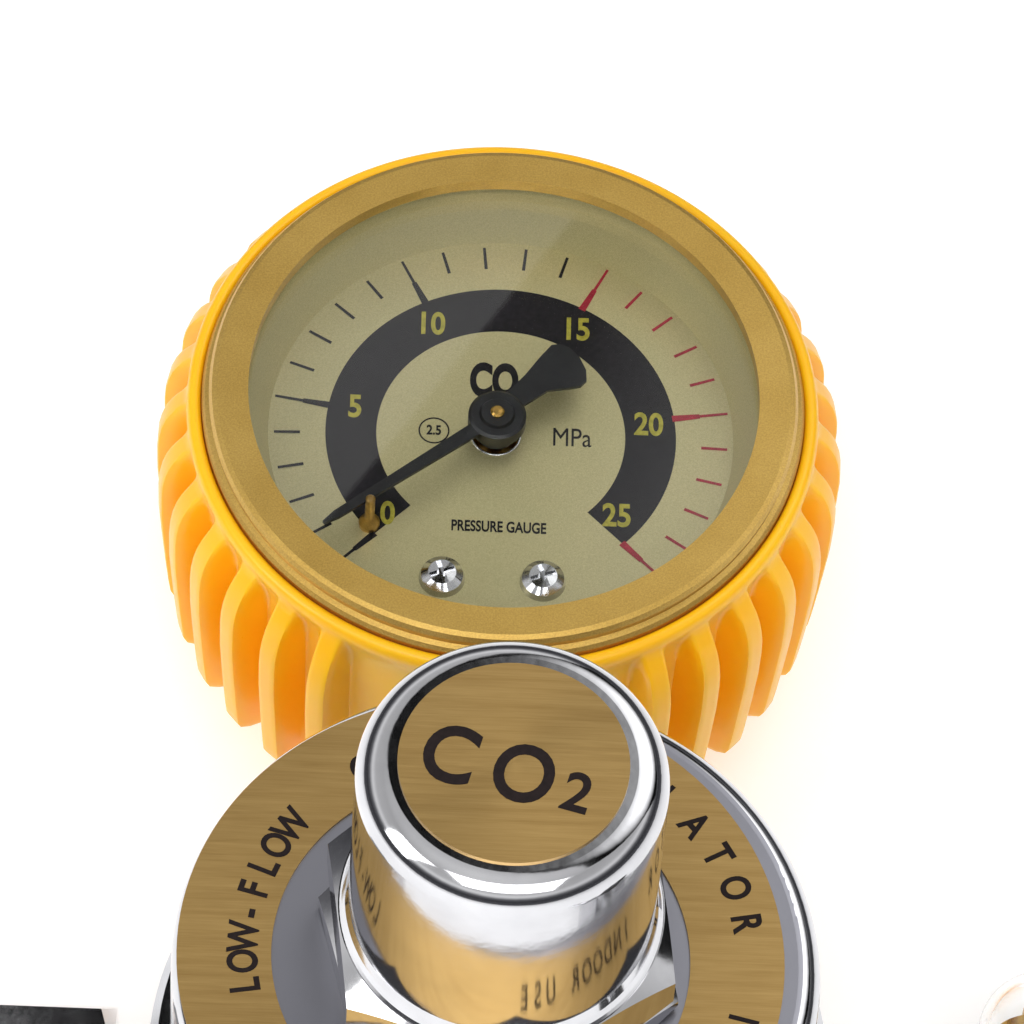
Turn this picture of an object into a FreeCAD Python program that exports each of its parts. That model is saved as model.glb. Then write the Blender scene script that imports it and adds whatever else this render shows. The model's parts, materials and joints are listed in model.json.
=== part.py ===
"""Carbon dioxide pressure regulator with a contents gauge and a flow tube.

Millimetres. +Z is the bonnet axis, +Y runs to the gauge and +X to the flow tube.
The origin is on the bonnet axis, at the flat back face of the body.
"""
import FreeCAD, Part
import math
import os

V = FreeCAD.Vector
X_AXIS = V(1, 0, 0)
Y_AXIS = V(0, 1, 0)
Z_AXIS = V(0, 0, 1)

# Driving dimensions
PORT_Z = 19.0            # height of every side port's axis
RUN = 0.08               # radial running clearance of a screw or shaft

BODY_R = 25.0
FLANGE_R = 32.0
FLANGE_Z0 = 36.5
FLANGE_Z1 = 43.5
COLLAR_R = 26.5
COLLAR_Z = 52.0
CHAMBER_R = 20.0
CHAMBER_Z = 40.0
VALVE_R = 6.3            # high-pressure chamber
NOZZLE_R = 7.5
NOZZLE_Z = 27.0

BONNET_R = 30.0
BONNET_TOP = 62.0
BONNET_ROUND = 2.2
HEX_AF = 30.0
HEX_TOP = 65.0
NECK_R = 11.0
NECK_TOP = 86.0
NECK_BORE_R = 8.6
NECK_BORE_TOP = 81.0

CAP_R = 14.0
CAP_TOP = 96.8
CAP_ROUND = 2.9
CAP_HEX_Z0 = 65.6
CAP_HEX_Z1 = 71.6
CAP_BORE_TOP = 94.2
CAP_LABEL_R = 10.3

SPRING_Z0 = 56.0
SPRING_Z1 = 76.0
SCREW_R = 5.0
SCREW_TOP = 91.6

LABEL_R = 28.0
LABEL_BORE_R = 19.3
LABEL_SHIFT = -1.5       # the stuck-on ring sits a little off centre
LABEL_T = 0.25

INLET_FACE = -34.6
NUT_AF = 30.0
NUT_X0 = -35.4
NUT_X1 = -59.0
NUT_WALL_X = -40.4
NUT_THREAD_X = -48.0
NUT_THREAD_R = 10.3
NIPPLE_R = 7.0

GAUGE_Y = 75.8
GAUGE_FACE = 31.0        # end face of the gauge boss on the body
CASE_R = 28.5
CASE_Z0 = 12.0
CASE_Z1 = 37.4
BEZEL_R = 30.0
BEZEL_Z0 = 35.0
BEZEL_Z1 = 42.3
BEZEL_OPEN_R = 25.4
GLASS_Z0 = 39.3
GLASS_Z1 = 40.5
DIAL_Z = 33.8
DIAL_R = 23.3
DIAL_T = 0.6
POINTER_Z = 37.0
POINTER_T = 0.4
POINTER_DEG = 218.5      # rest direction, counted from +X
MOVE_X = -0.5            # the movement sits a little off the middle of the case
BOOT_LIP_R = 31.5
BOOT_FIN_R = 34.4
BOOT_Z0 = 9.4
BOOT_Z1 = 40.2
FIN_COUNT = 31
FIN_PITCH = 10.0
FIN_FIRST = -61.0
FIN_T = 3.0
PINION_TEETH = 10
SECTOR_TEETH = 50
MODULE = 0.5
GEAR_Z0 = 26.0
GEAR_Z1 = 27.6
SECTOR_Y = GAUGE_Y - MODULE * (PINION_TEETH + SECTOR_TEETH) / 2
ARM_R = 6.4              # the link's pivot on the sector's arm
ARM_DEG = 145.0
FRAME_Z = 24.0
FRAME_TOP_Z = 29.8
SCREW_X = 5.0            # dial screws, either side of the middle
SCREW_Y = GAUGE_Y - 17.2

FLOW_X = 54.8
FLOW_Y = -25.0           # axis of the flow valve
OUTLET_Y = -18.0
OUTLET_FACE = 36.0
BLOCK_X0 = FLOW_X - 11.0
BLOCK_X1 = FLOW_X + 11.0
BLOCK_Y0 = -38.0
BLOCK_Y1 = -12.0
BLOCK_Z0 = PORT_Z - 10.0
BLOCK_Z1 = PORT_Z + 10.0
GUARD_R = 6.2
GUARD_WALL = 1.0
GUARD_DOME_Y = 18.2
TUBE_R = 3.2
TUBE_TOP = 14.5
TAIL_R = 4.25
KNOB_R = 9.0

RELIEF_FACE = -33.0


def cylinder(axis, radius, start, end, x=0.0, y=0.0, z=0.0):
    """Cylinder along an axis from start to end, its axis through the point x, y, z."""
    low, high = min(start, end), max(start, end)
    base = V(x, y, z)
    if axis == X_AXIS:
        base.x = low
    elif axis == Y_AXIS:
        base.y = low
    else:
        base.z = low
    return Part.makeCylinder(radius, high - low, base, axis)


def tube(axis, outer, inner, start, end, x=0.0, y=0.0, z=0.0):
    """Plain tube along an axis."""
    wall = cylinder(axis, outer, start, end, x, y, z)
    return wall.cut(cylinder(axis, inner, start - 1, end + 1, x, y, z) if start < end
                    else cylinder(axis, inner, start + 1, end - 1, x, y, z))


def join(shapes):
    """Fuse a list of shapes into one clean solid."""
    result = shapes[0]
    for shape in shapes[1:]:
        result = result.fuse(shape)
    return result.removeSplitter()


def turned(profile):
    """Solid of revolution about Z from (radius, z) points."""
    points = [V(r, 0, z) for r, z in profile]
    face = Part.Face(Part.makePolygon(points + [points[0]]))
    return face.revolve(V(0, 0, 0), Z_AXIS, 360)


def laid_along(shape, direction, x=0.0, y=0.0, z=0.0):
    """Turn a shape modelled about +Z so that its axis runs along direction, then move it."""
    shape = shape.copy()
    move = FreeCAD.Placement(V(x, y, z), FreeCAD.Rotation(Z_AXIS, direction))
    shape.Placement = move.multiply(shape.Placement)
    return shape


def hexagon(flats, z0, z1, turn=0.0, chamfer=0.0):
    """Hexagon prism about Z with its corners turned off by a cone at both ends."""
    corner = flats / math.sqrt(3)
    points = []
    for k in range(7):
        angle = math.radians(60 * k + turn)
        points.append(V(corner * math.cos(angle), corner * math.sin(angle), z0))
    prism = Part.Face(Part.makePolygon(points)).extrude(V(0, 0, z1 - z0))
    if chamfer:
        edge = flats / 2 - 0.1
        slope = corner - edge
        rise = slope * 0.58
        prism = prism.common(turned([(0, z0), (edge, z0), (corner, z0 + rise), (corner, z1 - rise),
                                     (edge, z1), (0, z1)]))
    return prism


def rounded_box(x0, x1, y0, y1, z0, z1, radius):
    """Box with every edge rounded."""
    box = Part.makeBox(x1 - x0, y1 - y0, z1 - z0, V(x0, y0, z0))
    return box.makeFillet(radius, box.Edges)


def coil(radius, wire, z0, z1, pitch, x=0.0, y=0.0):
    """Round-wire compression spring about Z."""
    helix = Part.makeHelix(pitch, z1 - z0 - 2 * wire, radius)
    section = Part.Wire(Part.makeCircle(wire, V(radius, 0, 0), Y_AXIS))
    spring = Part.Wire(helix).makePipeShell([section], True, True)
    spring = Part.Solid(spring) if spring.ShapeType == "Shell" else spring
    spring.translate(V(x, y, z0 + wire))
    return spring


# ---- pressure regulator ----

def body():
    """Forged body with four side ports, the valve chamber and the threaded collar."""
    shell = turned([(0, 0), (21.5, 0), (23, 0.6), (BODY_R, 3), (BODY_R, FLANGE_Z0 - 5),
                    (FLANGE_R - 1, FLANGE_Z0), (FLANGE_R, FLANGE_Z0 + 1), (FLANGE_R, FLANGE_Z1 - 0.8),
                    (FLANGE_R - 0.8, FLANGE_Z1), (COLLAR_R, FLANGE_Z1), (COLLAR_R, COLLAR_Z), (0, COLLAR_Z)])
    bosses = [cylinder(X_AXIS, 13, INLET_FACE, -15, z=PORT_Z),
              cylinder(Y_AXIS, 11, 15, GAUGE_FACE, z=PORT_Z),
              cylinder(X_AXIS, 9, 12, OUTLET_FACE, y=OUTLET_Y, z=PORT_Z),
              cylinder(Y_AXIS, 8.5, RELIEF_FACE, -15, z=PORT_Z)]
    solid = join([shell] + bosses)
    holes = [cylinder(Z_AXIS, CHAMBER_R, CHAMBER_Z, COLLAR_Z + 1),
             cylinder(Z_AXIS, NOZZLE_R, NOZZLE_Z, CHAMBER_Z + 1),
             cylinder(Z_AXIS, VALVE_R, 9.5, NOZZLE_Z + 1),
             cylinder(Z_AXIS, 8.0, 4.0, 9.5),
             cylinder(Z_AXIS, 11.0, -1, 4.0),
             cylinder(X_AXIS, 6.0, INLET_FACE - 1, INLET_FACE + 13, z=PORT_Z),
             cylinder(X_AXIS, 2.2, INLET_FACE + 12.5, -4, z=PORT_Z),
             cylinder(Y_AXIS, 5.0, 18, GAUGE_FACE + 1, z=PORT_Z),
             cylinder(Y_AXIS, 2.0, 4, 18.5, z=PORT_Z),
             cylinder(X_AXIS, 5.0, 24, OUTLET_FACE + 1, y=OUTLET_Y, z=PORT_Z),
             cylinder(X_AXIS, 1.7, 1, 24.5, y=OUTLET_Y, z=PORT_Z),
             cylinder(Y_AXIS, 5.0, RELIEF_FACE - 1, -24, z=PORT_Z),
             cylinder(Y_AXIS, 2.0, -24.5, -15.5, z=PORT_Z),
             cylinder(Z_AXIS, 2.4, PORT_Z - 3, CHAMBER_Z + 1, y=-15)]
    for hole in holes:
        solid = solid.cut(hole)
    return solid


def bonnet():
    """Bonnet that screws over the body's collar, with its wrench hexagon and threaded neck."""
    side = turned([(NECK_BORE_R, FLANGE_Z1), (BONNET_R - 0.6, FLANGE_Z1), (BONNET_R, FLANGE_Z1 + 0.6),
                   (BONNET_R, BONNET_TOP), (NECK_BORE_R, BONNET_TOP)])
    top_edge = [e for e in side.Edges if abs(e.BoundBox.ZMin - BONNET_TOP) < 1e-3 and e.BoundBox.XMax > 29]
    side = side.makeFillet(BONNET_ROUND, top_edge)
    neck = turned([(0, BONNET_TOP - 1), (NECK_R, BONNET_TOP - 1), (NECK_R, NECK_TOP - 0.8),
                   (NECK_R - 0.8, NECK_TOP), (0, NECK_TOP)])
    solid = join([side, hexagon(HEX_AF, BONNET_TOP - 0.5, HEX_TOP, turn=44, chamfer=1), neck])
    cavity = turned([(0, 40), (COLLAR_R, 40), (COLLAR_R, 54.5), (19.5, 54.5), (19.5, 57.5),
                     (NECK_BORE_R, 61), (NECK_BORE_R, NECK_BORE_TOP), (0, NECK_BORE_TOP)])
    return solid.cut(cavity).cut(cylinder(Z_AXIS, SCREW_R + RUN, NECK_BORE_TOP - 1, NECK_TOP + 1))


def bonnet_label():
    """Thin metal ring label stuck on the bonnet."""
    return tube(Z_AXIS, LABEL_R, LABEL_BORE_R, BONNET_TOP, BONNET_TOP + LABEL_T, x=LABEL_SHIFT)


def diaphragm():
    """Rubber diaphragm with one moulded roll."""
    return turned([(0, COLLAR_Z), (17.4, COLLAR_Z), (18.4, COLLAR_Z - 1.2), (19.4, COLLAR_Z),
                   (26.3, COLLAR_Z),
                   (26.3, COLLAR_Z + 1), (19.2, COLLAR_Z + 1), (18.4, COLLAR_Z), (17.6, COLLAR_Z + 1),
                   (0, COLLAR_Z + 1)])


def slip_ring():
    """Steel ring that lets the bonnet turn without dragging the diaphragm."""
    return tube(Z_AXIS, 26.3, 20.5, COLLAR_Z + 1, 54.5)


def diaphragm_plate():
    """Pressure plate under the main spring, with a spigot that centres it."""
    z0 = COLLAR_Z + 1
    return turned([(0, z0), (16.5, z0), (17, z0 + 0.5), (17, z0 + 1.5), (10, SPRING_Z0), (5.6, SPRING_Z0),
                   (5.2, SPRING_Z0 + 3), (0, SPRING_Z0 + 3)])


def main_spring():
    return coil(6.9, 1.1, SPRING_Z0, SPRING_Z1, 3.4)


def spring_button():
    """Steel button that passes the screw's thrust to the main spring."""
    return turned([(0, SPRING_Z1 - 3), (5.2, SPRING_Z1 - 3), (5.5, SPRING_Z1), (8.2, SPRING_Z1),
                   (8.2, SPRING_Z1 + 2), (6, SPRING_Z1 + 3), (0, SPRING_Z1 + 3)])


def adjusting_screw():
    """Pressure-setting screw with a screwdriver slot."""
    foot = SPRING_Z1 + 3
    screw = turned([(0, foot), (3.4, foot), (SCREW_R, foot + 1.6), (SCREW_R, SCREW_TOP - 0.8),
                    (SCREW_R - 0.8, SCREW_TOP), (0, SCREW_TOP)])
    return screw.cut(Part.makeBox(12, 1.6, 3, V(-6, -0.8, SCREW_TOP - 2)))


def adjusting_locknut():
    nut = hexagon(15, NECK_TOP, NECK_TOP + 4, chamfer=1)
    return nut.cut(cylinder(Z_AXIS, SCREW_R + RUN, NECK_TOP - 1, NECK_TOP + 5))


def cap_nut():
    """Chromed cap over the adjusting screw, with its wrench hexagon."""
    barrel = turned([(0, CAP_HEX_Z0), (CAP_R + 0.8, CAP_HEX_Z0), (CAP_R + 0.8, CAP_HEX_Z1),
                     (CAP_R + 0.6, CAP_HEX_Z1 + 0.3), (CAP_R + 0.3, CAP_HEX_Z1 + 0.9),
                     (CAP_R, CAP_HEX_Z1 + 1.8), (CAP_R, CAP_TOP), (0, CAP_TOP)])
    rim = [e for e in barrel.Edges if abs(e.BoundBox.ZMin - CAP_TOP) < 1e-3 and e.BoundBox.XMax > CAP_R - 1]
    barrel = barrel.makeFillet(CAP_ROUND, rim)
    solid = join([barrel, hexagon(HEX_AF, CAP_HEX_Z0, CAP_HEX_Z1, turn=37.5, chamfer=1)])
    return solid.cut(turned([(0, 60), (NECK_R + 0.6, 60), (NECK_R + 0.6, CAP_HEX_Z0 + 0.8),
                             (NECK_R + RUN, CAP_HEX_Z0 + 1.4), (NECK_R + RUN, CAP_BORE_TOP - 1),
                             (NECK_R - 1, CAP_BORE_TOP), (0, CAP_BORE_TOP)]))


def cap_label():
    return cylinder(Z_AXIS, CAP_LABEL_R, CAP_TOP, CAP_TOP + LABEL_T)


def cap_washer():
    return tube(Z_AXIS, CAP_R, NECK_R + 0.12, HEX_TOP + 0.02, CAP_HEX_Z0)


def valve_nozzle():
    """Brass nozzle screwed into the chamber floor, with the seat lip on its lower face."""
    barrel = turned([(0, NOZZLE_Z), (NOZZLE_R, NOZZLE_Z), (NOZZLE_R, CHAMBER_Z - 2),
                     (NOZZLE_R - 1, CHAMBER_Z), (0, CHAMBER_Z)])
    lip = turned([(0, NOZZLE_Z - 1), (2.4, NOZZLE_Z - 1), (3.2, NOZZLE_Z), (3.2, NOZZLE_Z + 1),
                  (0, NOZZLE_Z + 1)])
    solid = join([barrel, lip, hexagon(11, CHAMBER_Z - 1, CHAMBER_Z + 2.5)])
    return solid.cut(cylinder(Z_AXIS, 1.75, 20, 50))


def valve_pin():
    return cylinder(Z_AXIS, 1.2, NOZZLE_Z - 1.02, COLLAR_Z)


def valve_poppet():
    """Hexagonal-bodied poppet with a guide for its spring and a pocket for the seat."""
    solid = join([hexagon(10, 17.5, NOZZLE_Z - 1.4), cylinder(Z_AXIS, 2.6, 14.5, 18)])
    return solid.cut(cylinder(Z_AXIS, 4.0, NOZZLE_Z - 2.6, NOZZLE_Z))


def poppet_seat():
    return cylinder(Z_AXIS, 4.0, NOZZLE_Z - 2.6, NOZZLE_Z - 1.02)


def valve_spring():
    return coil(3.5, 0.45, 9.5, 17.5, 1.7)


def back_plug():
    """Plug that closes the valve chamber, flush with the back face, with two spanner holes."""
    plug = turned([(0, 0), (10.3, 0), (10.9, 0.6), (10.9, 3.2), (8, 3.2), (8, 9.5), (0, 9.5)])
    for side in (-1, 1):
        plug = plug.cut(cylinder(Z_AXIS, 1.6, -1, 3, x=6.0 * side))
    return plug


def back_plug_seal():
    return tube(Z_AXIS, 10.9, 8.0, 3.2, 4.0)


# ---- inlet ----

def inlet_nipple():
    """Nipple whose collar holds the union nut."""
    nipple = turned([(0, 0), (6, 0), (6, 13), (NIPPLE_R, 13), (NIPPLE_R, 19.3), (9.5, 19.3), (9.5, 21.8),
                     (7, 24.4), (0, 24.4)])
    nipple = nipple.cut(cylinder(Z_AXIS, 2.5, -1, 19)).cut(cylinder(Z_AXIS, 4.0, 18.4, 25))
    return laid_along(nipple, -X_AXIS, x=INLET_FACE + 13, z=PORT_Z)


def inlet_filter():
    return cylinder(X_AXIS, 4.0, INLET_FACE - 10.4, INLET_FACE - 5.4, z=PORT_Z)


def inlet_seal():
    return tube(X_AXIS, 7.0, 4.2, INLET_FACE - 12.6, INLET_FACE - 11.4, z=PORT_Z)


def inlet_nut():
    """Hexagon union nut for the cylinder valve."""
    length = NUT_X0 - NUT_X1
    nut = hexagon(NUT_AF, 0, length, turn=30, chamfer=1)
    nut = nut.cut(cylinder(Z_AXIS, NIPPLE_R + RUN, -1, length))
    nut = nut.cut(cylinder(Z_AXIS, 11.2, NUT_X0 - NUT_WALL_X, NUT_X0 - NUT_THREAD_X))
    nut = nut.cut(cylinder(Z_AXIS, NUT_THREAD_R, NUT_X0 - NUT_THREAD_X, length + 1))
    nut = laid_along(nut, -X_AXIS, x=NUT_X0, z=PORT_Z)
    return nut


# ---- gauge ----

def gauge_point(radius, degrees, z):
    """Point in the gauge's own polar coordinates."""
    angle = math.radians(degrees)
    return V(radius * math.cos(angle), GAUGE_Y + radius * math.sin(angle), z)


def gauge_disc(radius, z0, z1):
    return cylinder(Z_AXIS, radius, z0, z1, y=GAUGE_Y)


def gauge_turned(profile):
    shape = turned(profile)
    shape.translate(V(0, GAUGE_Y, 0))
    return shape


def gauge_socket():
    """Threaded stem, wrench square and the block that carries tube and movement."""
    stem = cylinder(Y_AXIS, 5.0, GAUGE_FACE - 11, GAUGE_FACE + 3, z=PORT_Z)
    collar = cylinder(Y_AXIS, 8.2, GAUGE_FACE + 1.2, GAUGE_FACE + 4, z=PORT_Z)
    square = Part.makeBox(14, 10.5, 14, V(-7, GAUGE_FACE + 4, PORT_Z - 7))
    neck = cylinder(Y_AXIS, 6.0, GAUGE_FACE + 14, GAUGE_Y - 25, z=PORT_Z)
    block = Part.makeBox(16, 7.4, FRAME_Z - 15.2, V(-8, GAUGE_Y - 26, 15.2))
    relief = Part.makeBox(17, 8, 8, V(-8.5, GAUGE_Y - 26.4, FRAME_Z))
    solid = join([stem, collar, square, neck, block]).cut(relief)
    solid = solid.cut(cylinder(Y_AXIS, 1.5, 10, GAUGE_Y - 21, z=PORT_Z - 2.5))
    return solid.cut(bourdon_tube())


def gauge_gasket():
    return tube(Y_AXIS, 8.0, 5.1, GAUGE_FACE, GAUGE_FACE + 1.2, z=PORT_Z)


def gauge_case():
    """Pressed steel case with a hole for the socket and a blow-out hole in its back."""
    case = gauge_turned([(0, CASE_Z0), (CASE_R - 2, CASE_Z0), (CASE_R, CASE_Z0 + 2), (CASE_R, CASE_Z1),
                         (CASE_R - 1.2, CASE_Z1), (CASE_R - 1.2, CASE_Z0 + 2.4),
                         (CASE_R - 2.4, CASE_Z0 + 1.2), (0, CASE_Z0 + 1.2)])
    case = case.cut(cylinder(Y_AXIS, 6.0, GAUGE_FACE + 10, GAUGE_Y - 20, z=PORT_Z))
    return case.cut(cylinder(Z_AXIS, 4.0, CASE_Z0 - 1, CASE_Z0 + 2, y=GAUGE_Y + 13))


def gauge_bezel():
    """Bezel ring screwed over the case, holding the glass."""
    ring = gauge_turned([(CASE_R, BEZEL_Z0), (BEZEL_R, BEZEL_Z0), (BEZEL_R, BEZEL_Z1 - 2.0),
                         (BEZEL_R - 0.3, BEZEL_Z1 - 1.6), (BEZEL_R - 0.8, BEZEL_Z1 - 1.4),
                         (BEZEL_R - 0.7, BEZEL_Z1 - 0.7), (BEZEL_R - 1.0, BEZEL_Z1 - 0.2),
                         (BEZEL_R - 1.5, BEZEL_Z1), (BEZEL_OPEN_R, BEZEL_Z1),
                         (BEZEL_OPEN_R, GLASS_Z1 + 0.3), (27.4, GLASS_Z1 + 0.3), (27.4, CASE_Z1),
                         (CASE_R, CASE_Z1)])
    return ring


def glass_gasket():
    shape = gauge_turned([(BEZEL_OPEN_R + 0.2, GLASS_Z1), (27.3, GLASS_Z1), (27.3, GLASS_Z1 + 0.3),
                          (BEZEL_OPEN_R + 0.2, GLASS_Z1 + 0.3)])
    return shape


def gauge_glass():
    return gauge_disc(27.3, GLASS_Z0, GLASS_Z1)


def dial():
    """Dial pan: flat face and a sloping wall that rises to the glass."""
    low = DIAL_Z - DIAL_T
    top = GLASS_Z0
    wall_r = 26.2
    pan = gauge_turned([(0, low), (DIAL_R + 0.2, low), (wall_r + 0.6, top), (wall_r, top), (DIAL_R, DIAL_Z),
                        (0, DIAL_Z)])
    pan = pan.cut(cylinder(Z_AXIS, 2.3, low - 1, DIAL_Z + 1, x=MOVE_X, y=GAUGE_Y)).cut(stop_pin())
    for side in (-1, 1):
        pan = pan.cut(cylinder(Z_AXIS, 1.3, low - 1, DIAL_Z + 1, x=MOVE_X + SCREW_X * side, y=SCREW_Y))
    return pan


def dial_screws():
    """Two cross-head screws that hold the dial on the movement frame's lugs."""
    screws = []
    for side in (-1, 1):
        head = turned([(0, DIAL_Z), (2.3, DIAL_Z), (2.1, DIAL_Z + 0.7), (1.4, DIAL_Z + 1.2),
                       (0, DIAL_Z + 1.35)])
        screw = head.fuse(cylinder(Z_AXIS, 1.2, FRAME_TOP_Z, DIAL_Z + 0.1)).removeSplitter()
        for turn in (20, 110):
            slot = Part.makeBox(2.6, 0.5, 2, V(-1.3, -0.25, DIAL_Z + 0.55))
            slot.rotate(V(0, 0, 0), Z_AXIS, turn)
            screw = screw.cut(slot)
        screw.translate(V(MOVE_X + SCREW_X * side, SCREW_Y, 0))
        screws.append(screw)
    return Part.makeCompound(screws)


def stop_pin():
    """Pin that the pointer rests against at zero, with a collar on the dial."""
    reach = 16.7
    offset = math.degrees((0.48 + 0.62) / reach)
    foot = gauge_point(reach, POINTER_DEG + offset, DIAL_Z - DIAL_T)
    pin = turned([(0, 0), (0.5, 0), (0.5, DIAL_T), (1.05, DIAL_T), (1.05, DIAL_T + 0.5), (0.5, DIAL_T + 1.3),
                  (0.48, 5.3), (0.3, 5.5), (0, 5.5)])
    pin.translate(foot + V(MOVE_X, 0, 0))
    return pin


def pointer():
    """Tapered hand with a boot-shaped counterweight, on its round hub."""
    blade = [(21.6, 0.15), (20.0, 0.45), (2.5, 0.75), (-3.0, 0.6), (-5.9, 0.6), (-7.6, 1.5), (-8.9, 2.1),
             (-9.8, 1.9), (-10.5, 0.9), (-10.9, -0.7), (-10.8, -2.2), (-10.3, -3.1), (-9.5, -3.5),
             (-7.6, -3.0), (-5.2, -2.2), (-3.0, -1.7), (2.5, -0.75), (20.0, -0.45), (21.6, -0.15)]
    plate = prism(blade, POINTER_Z, POINTER_Z + POINTER_T)
    hub = turned([(0, DIAL_Z + 0.5), (2.1, DIAL_Z + 0.5), (2.1, POINTER_Z - 1.4), (2.9, POINTER_Z - 1.0),
                  (2.9, POINTER_Z + 0.4), (2.6, POINTER_Z + 0.6), (1.8, POINTER_Z + 0.6),
                  (1.6, POINTER_Z + 0.9), (0, POINTER_Z + 0.9)])
    hand = plate.fuse(hub).removeSplitter().cut(cylinder(Z_AXIS, 0.7, 30, POINTER_Z + 1))
    hand.rotate(V(0, 0, 0), Z_AXIS, POINTER_DEG)
    hand.translate(V(MOVE_X, GAUGE_Y, 0))
    return hand


def gear_outline(teeth, first, count, phase):
    """Outline points of straight-sided teeth on a wheel about the origin."""
    pitch_r = MODULE * teeth / 2
    step = 360.0 / teeth
    points = []
    for k in range(count):
        centre = phase + (first + k) * step
        for radius, part in ((pitch_r - 0.5, -0.26), (pitch_r + 0.34, -0.13), (pitch_r + 0.34, 0.13),
                             (pitch_r - 0.5, 0.26)):
            angle = math.radians(centre + part * step)
            points.append((radius * math.cos(angle), radius * math.sin(angle)))
    return points


def prism(points, z0, z1):
    corners = [V(x, y, z0) for x, y in points]
    return Part.Face(Part.makePolygon(corners + [corners[0]])).extrude(V(0, 0, z1 - z0))


def pinion_arbor():
    """Arbor that carries the pinion and, through the dial, the pointer."""
    wheel = prism(gear_outline(PINION_TEETH, 0, PINION_TEETH, -90 + 180.0 / PINION_TEETH), GEAR_Z0 - 0.3,
                  GEAR_Z1 + 0.3)
    shaft = turned([(0, FRAME_Z - 0.4), (0.7, FRAME_Z - 0.4), (0.7, POINTER_Z + 1.1), (0.5, POINTER_Z + 1.3),
                    (0, POINTER_Z + 1.35)])
    arbor = join([shaft, wheel])
    arbor.translate(V(MOVE_X, GAUGE_Y, 0))
    return arbor


def sector_gear():
    """Toothed sector on its own arbor, with the arm that the link pulls."""
    teeth = gear_outline(SECTOR_TEETH, -9, 11, 90)
    plate = prism(teeth + [(-2.0, -1.0), (1.0, -2.0)], GEAR_Z0, GEAR_Z1)
    hub = cylinder(Z_AXIS, 2.3, GEAR_Z0 - 0.8, GEAR_Z1 + 0.2)
    shaft = cylinder(Z_AXIS, 0.8, FRAME_Z - 0.2, FRAME_TOP_Z + 1.4)
    arm = Part.makeBox(ARM_R + 1.2, 2.4, GEAR_Z1 - GEAR_Z0, V(0, -1.2, GEAR_Z0))
    arm.rotate(V(0, 0, 0), Z_AXIS, ARM_DEG)
    sector = join([plate, hub, shaft, arm])
    sector.translate(V(MOVE_X, SECTOR_Y, 0))
    return sector


def movement_frame():
    """Lower and upper plates on two pillars, with lugs for the dial screws."""
    low_y = SECTOR_Y - 5.5
    plates = []
    for z0 in (FRAME_Z, FRAME_TOP_Z):
        plates.append(Part.makeBox(17, GAUGE_Y + 4.5 - low_y, 1.0, V(-8.5, low_y, z0)))
    pillars = [cylinder(Z_AXIS, 1.2, FRAME_Z, FRAME_TOP_Z + 1, x=side * 7.0,
                        y=GAUGE_Y + 2.8) for side in (-1, 1)]
    spacer = Part.makeBox(7, 2.2, FRAME_TOP_Z - FRAME_Z, V(-3.5, low_y, FRAME_Z))
    lugs = [cylinder(Z_AXIS, 2.2, FRAME_TOP_Z, DIAL_Z - DIAL_T, x=side * SCREW_X,
                     y=SCREW_Y) for side in (-1, 1)]
    frame = join(plates + pillars + [spacer] + lugs)
    frame = frame.cut(cylinder(Z_AXIS, 0.7 + RUN, 20, 40, y=GAUGE_Y))
    frame = frame.cut(cylinder(Z_AXIS, 0.8 + RUN, 20, 40, y=SECTOR_Y))
    for side in (-1, 1):
        frame = frame.cut(cylinder(Z_AXIS, 1.2, FRAME_TOP_Z, DIAL_Z, x=side * SCREW_X, y=SCREW_Y))
    frame.translate(V(MOVE_X, 0, 0))
    return frame


def bourdon_tube():
    """Flattened tube bent round the gauge, with a plugged tip."""
    mean_r = 20.5
    outer = gauge_turned([(mean_r - 0.9, 16), (mean_r + 0.9, 16), (mean_r + 0.9, 22), (mean_r - 0.9, 22)])
    inner = gauge_turned([(mean_r - 0.6, 16.3), (mean_r + 0.6, 16.3), (mean_r + 0.6, 21.7),
                          (mean_r - 0.6, 21.7)])
    ring = outer.cut(inner)
    keep = [gauge_point(40, a, PORT_Z - 4) for a in (-73, -30, 0, 45, 90, 135, 172)]
    outline = Part.makePolygon([V(0, GAUGE_Y, 15)] + keep + [V(0, GAUGE_Y, 15)])
    window = Part.Face(outline).extrude(V(0, 0, 9))
    bend = ring.common(window)
    tip = Part.makeBox(3.2, 4.4, 7.2, V(-mean_r - 1.6, GAUGE_Y - 0.4, 15.6))
    tip.rotate(V(0, GAUGE_Y, 0), Z_AXIS, -6)
    root = Part.makeBox(6.0, 4.0, 7.2, V(2.6, GAUGE_Y - 21.2, 15.4))
    return join([bend, tip, root])


def movement_link():
    """Flat link between the sector's arm and the tube's tip."""
    angle = math.radians(ARM_DEG)
    pivot = V(MOVE_X + ARM_R * math.cos(angle), SECTOR_Y + ARM_R * math.sin(angle), GEAR_Z1 + 0.3)
    length = 17.4
    bar = Part.makeBox(length, 1.6, 0.7, V(-length, -0.8, 0))
    eyes = [cylinder(Z_AXIS, 1.3, 0, 0.7), cylinder(Z_AXIS, 1.3, 0, 0.7, x=-length)]
    link = join([bar] + eyes)
    link.rotate(V(0, 0, 0), Z_AXIS, -40)
    link.translate(pivot)
    return link


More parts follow.
